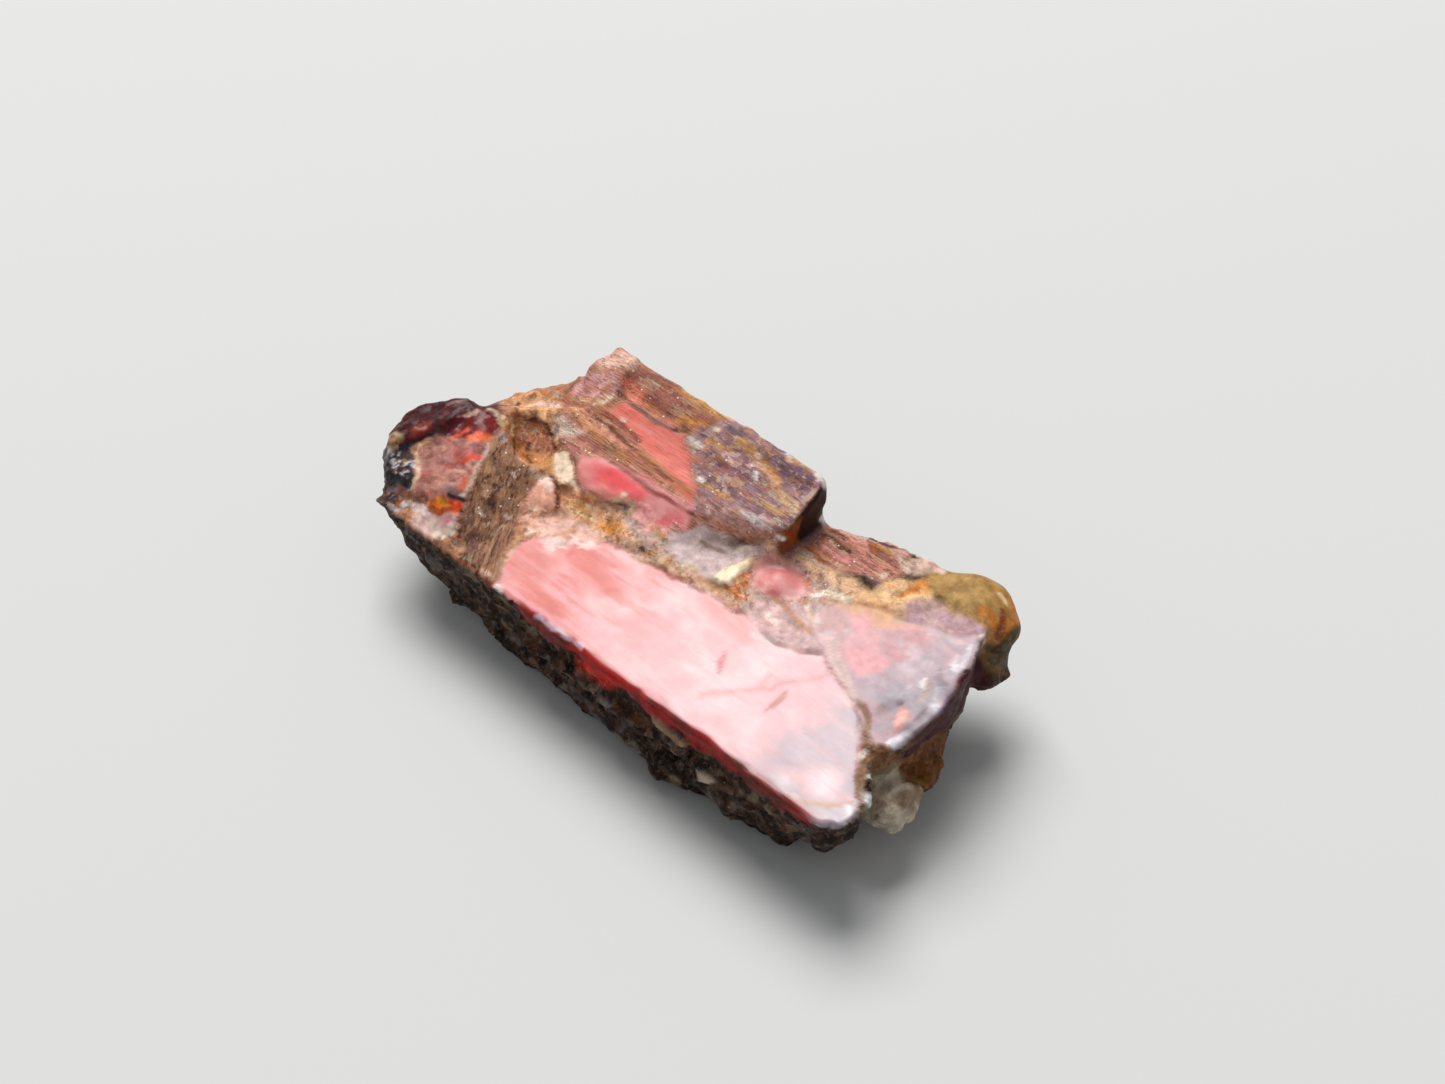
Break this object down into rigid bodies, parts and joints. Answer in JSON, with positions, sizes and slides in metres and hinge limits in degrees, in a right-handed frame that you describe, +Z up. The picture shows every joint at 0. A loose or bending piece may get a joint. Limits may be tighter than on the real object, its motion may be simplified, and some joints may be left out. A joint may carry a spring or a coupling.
{
  "type": "manganotantalite crystal",
  "caption": "Broken tabular mineral crystal lying on its base cleavage, with a striated slab along its back and matrix grains fused to its foot.",
  "frame": {"origin": "on the ground, under the middle of the crystal's box", "axes": "+X along the crystal from its broken head to its nodule, +Y across it to the striated slab, +Z up"},
  "size_m": [0.0194, 0.0096, 0.006],
  "materials": {
    "crystal": "glossy cleavage faces, rough breaks"
  },
  "bodies": {
    "root": {"crystal": "crystal"}
  },
  "joints": []
}
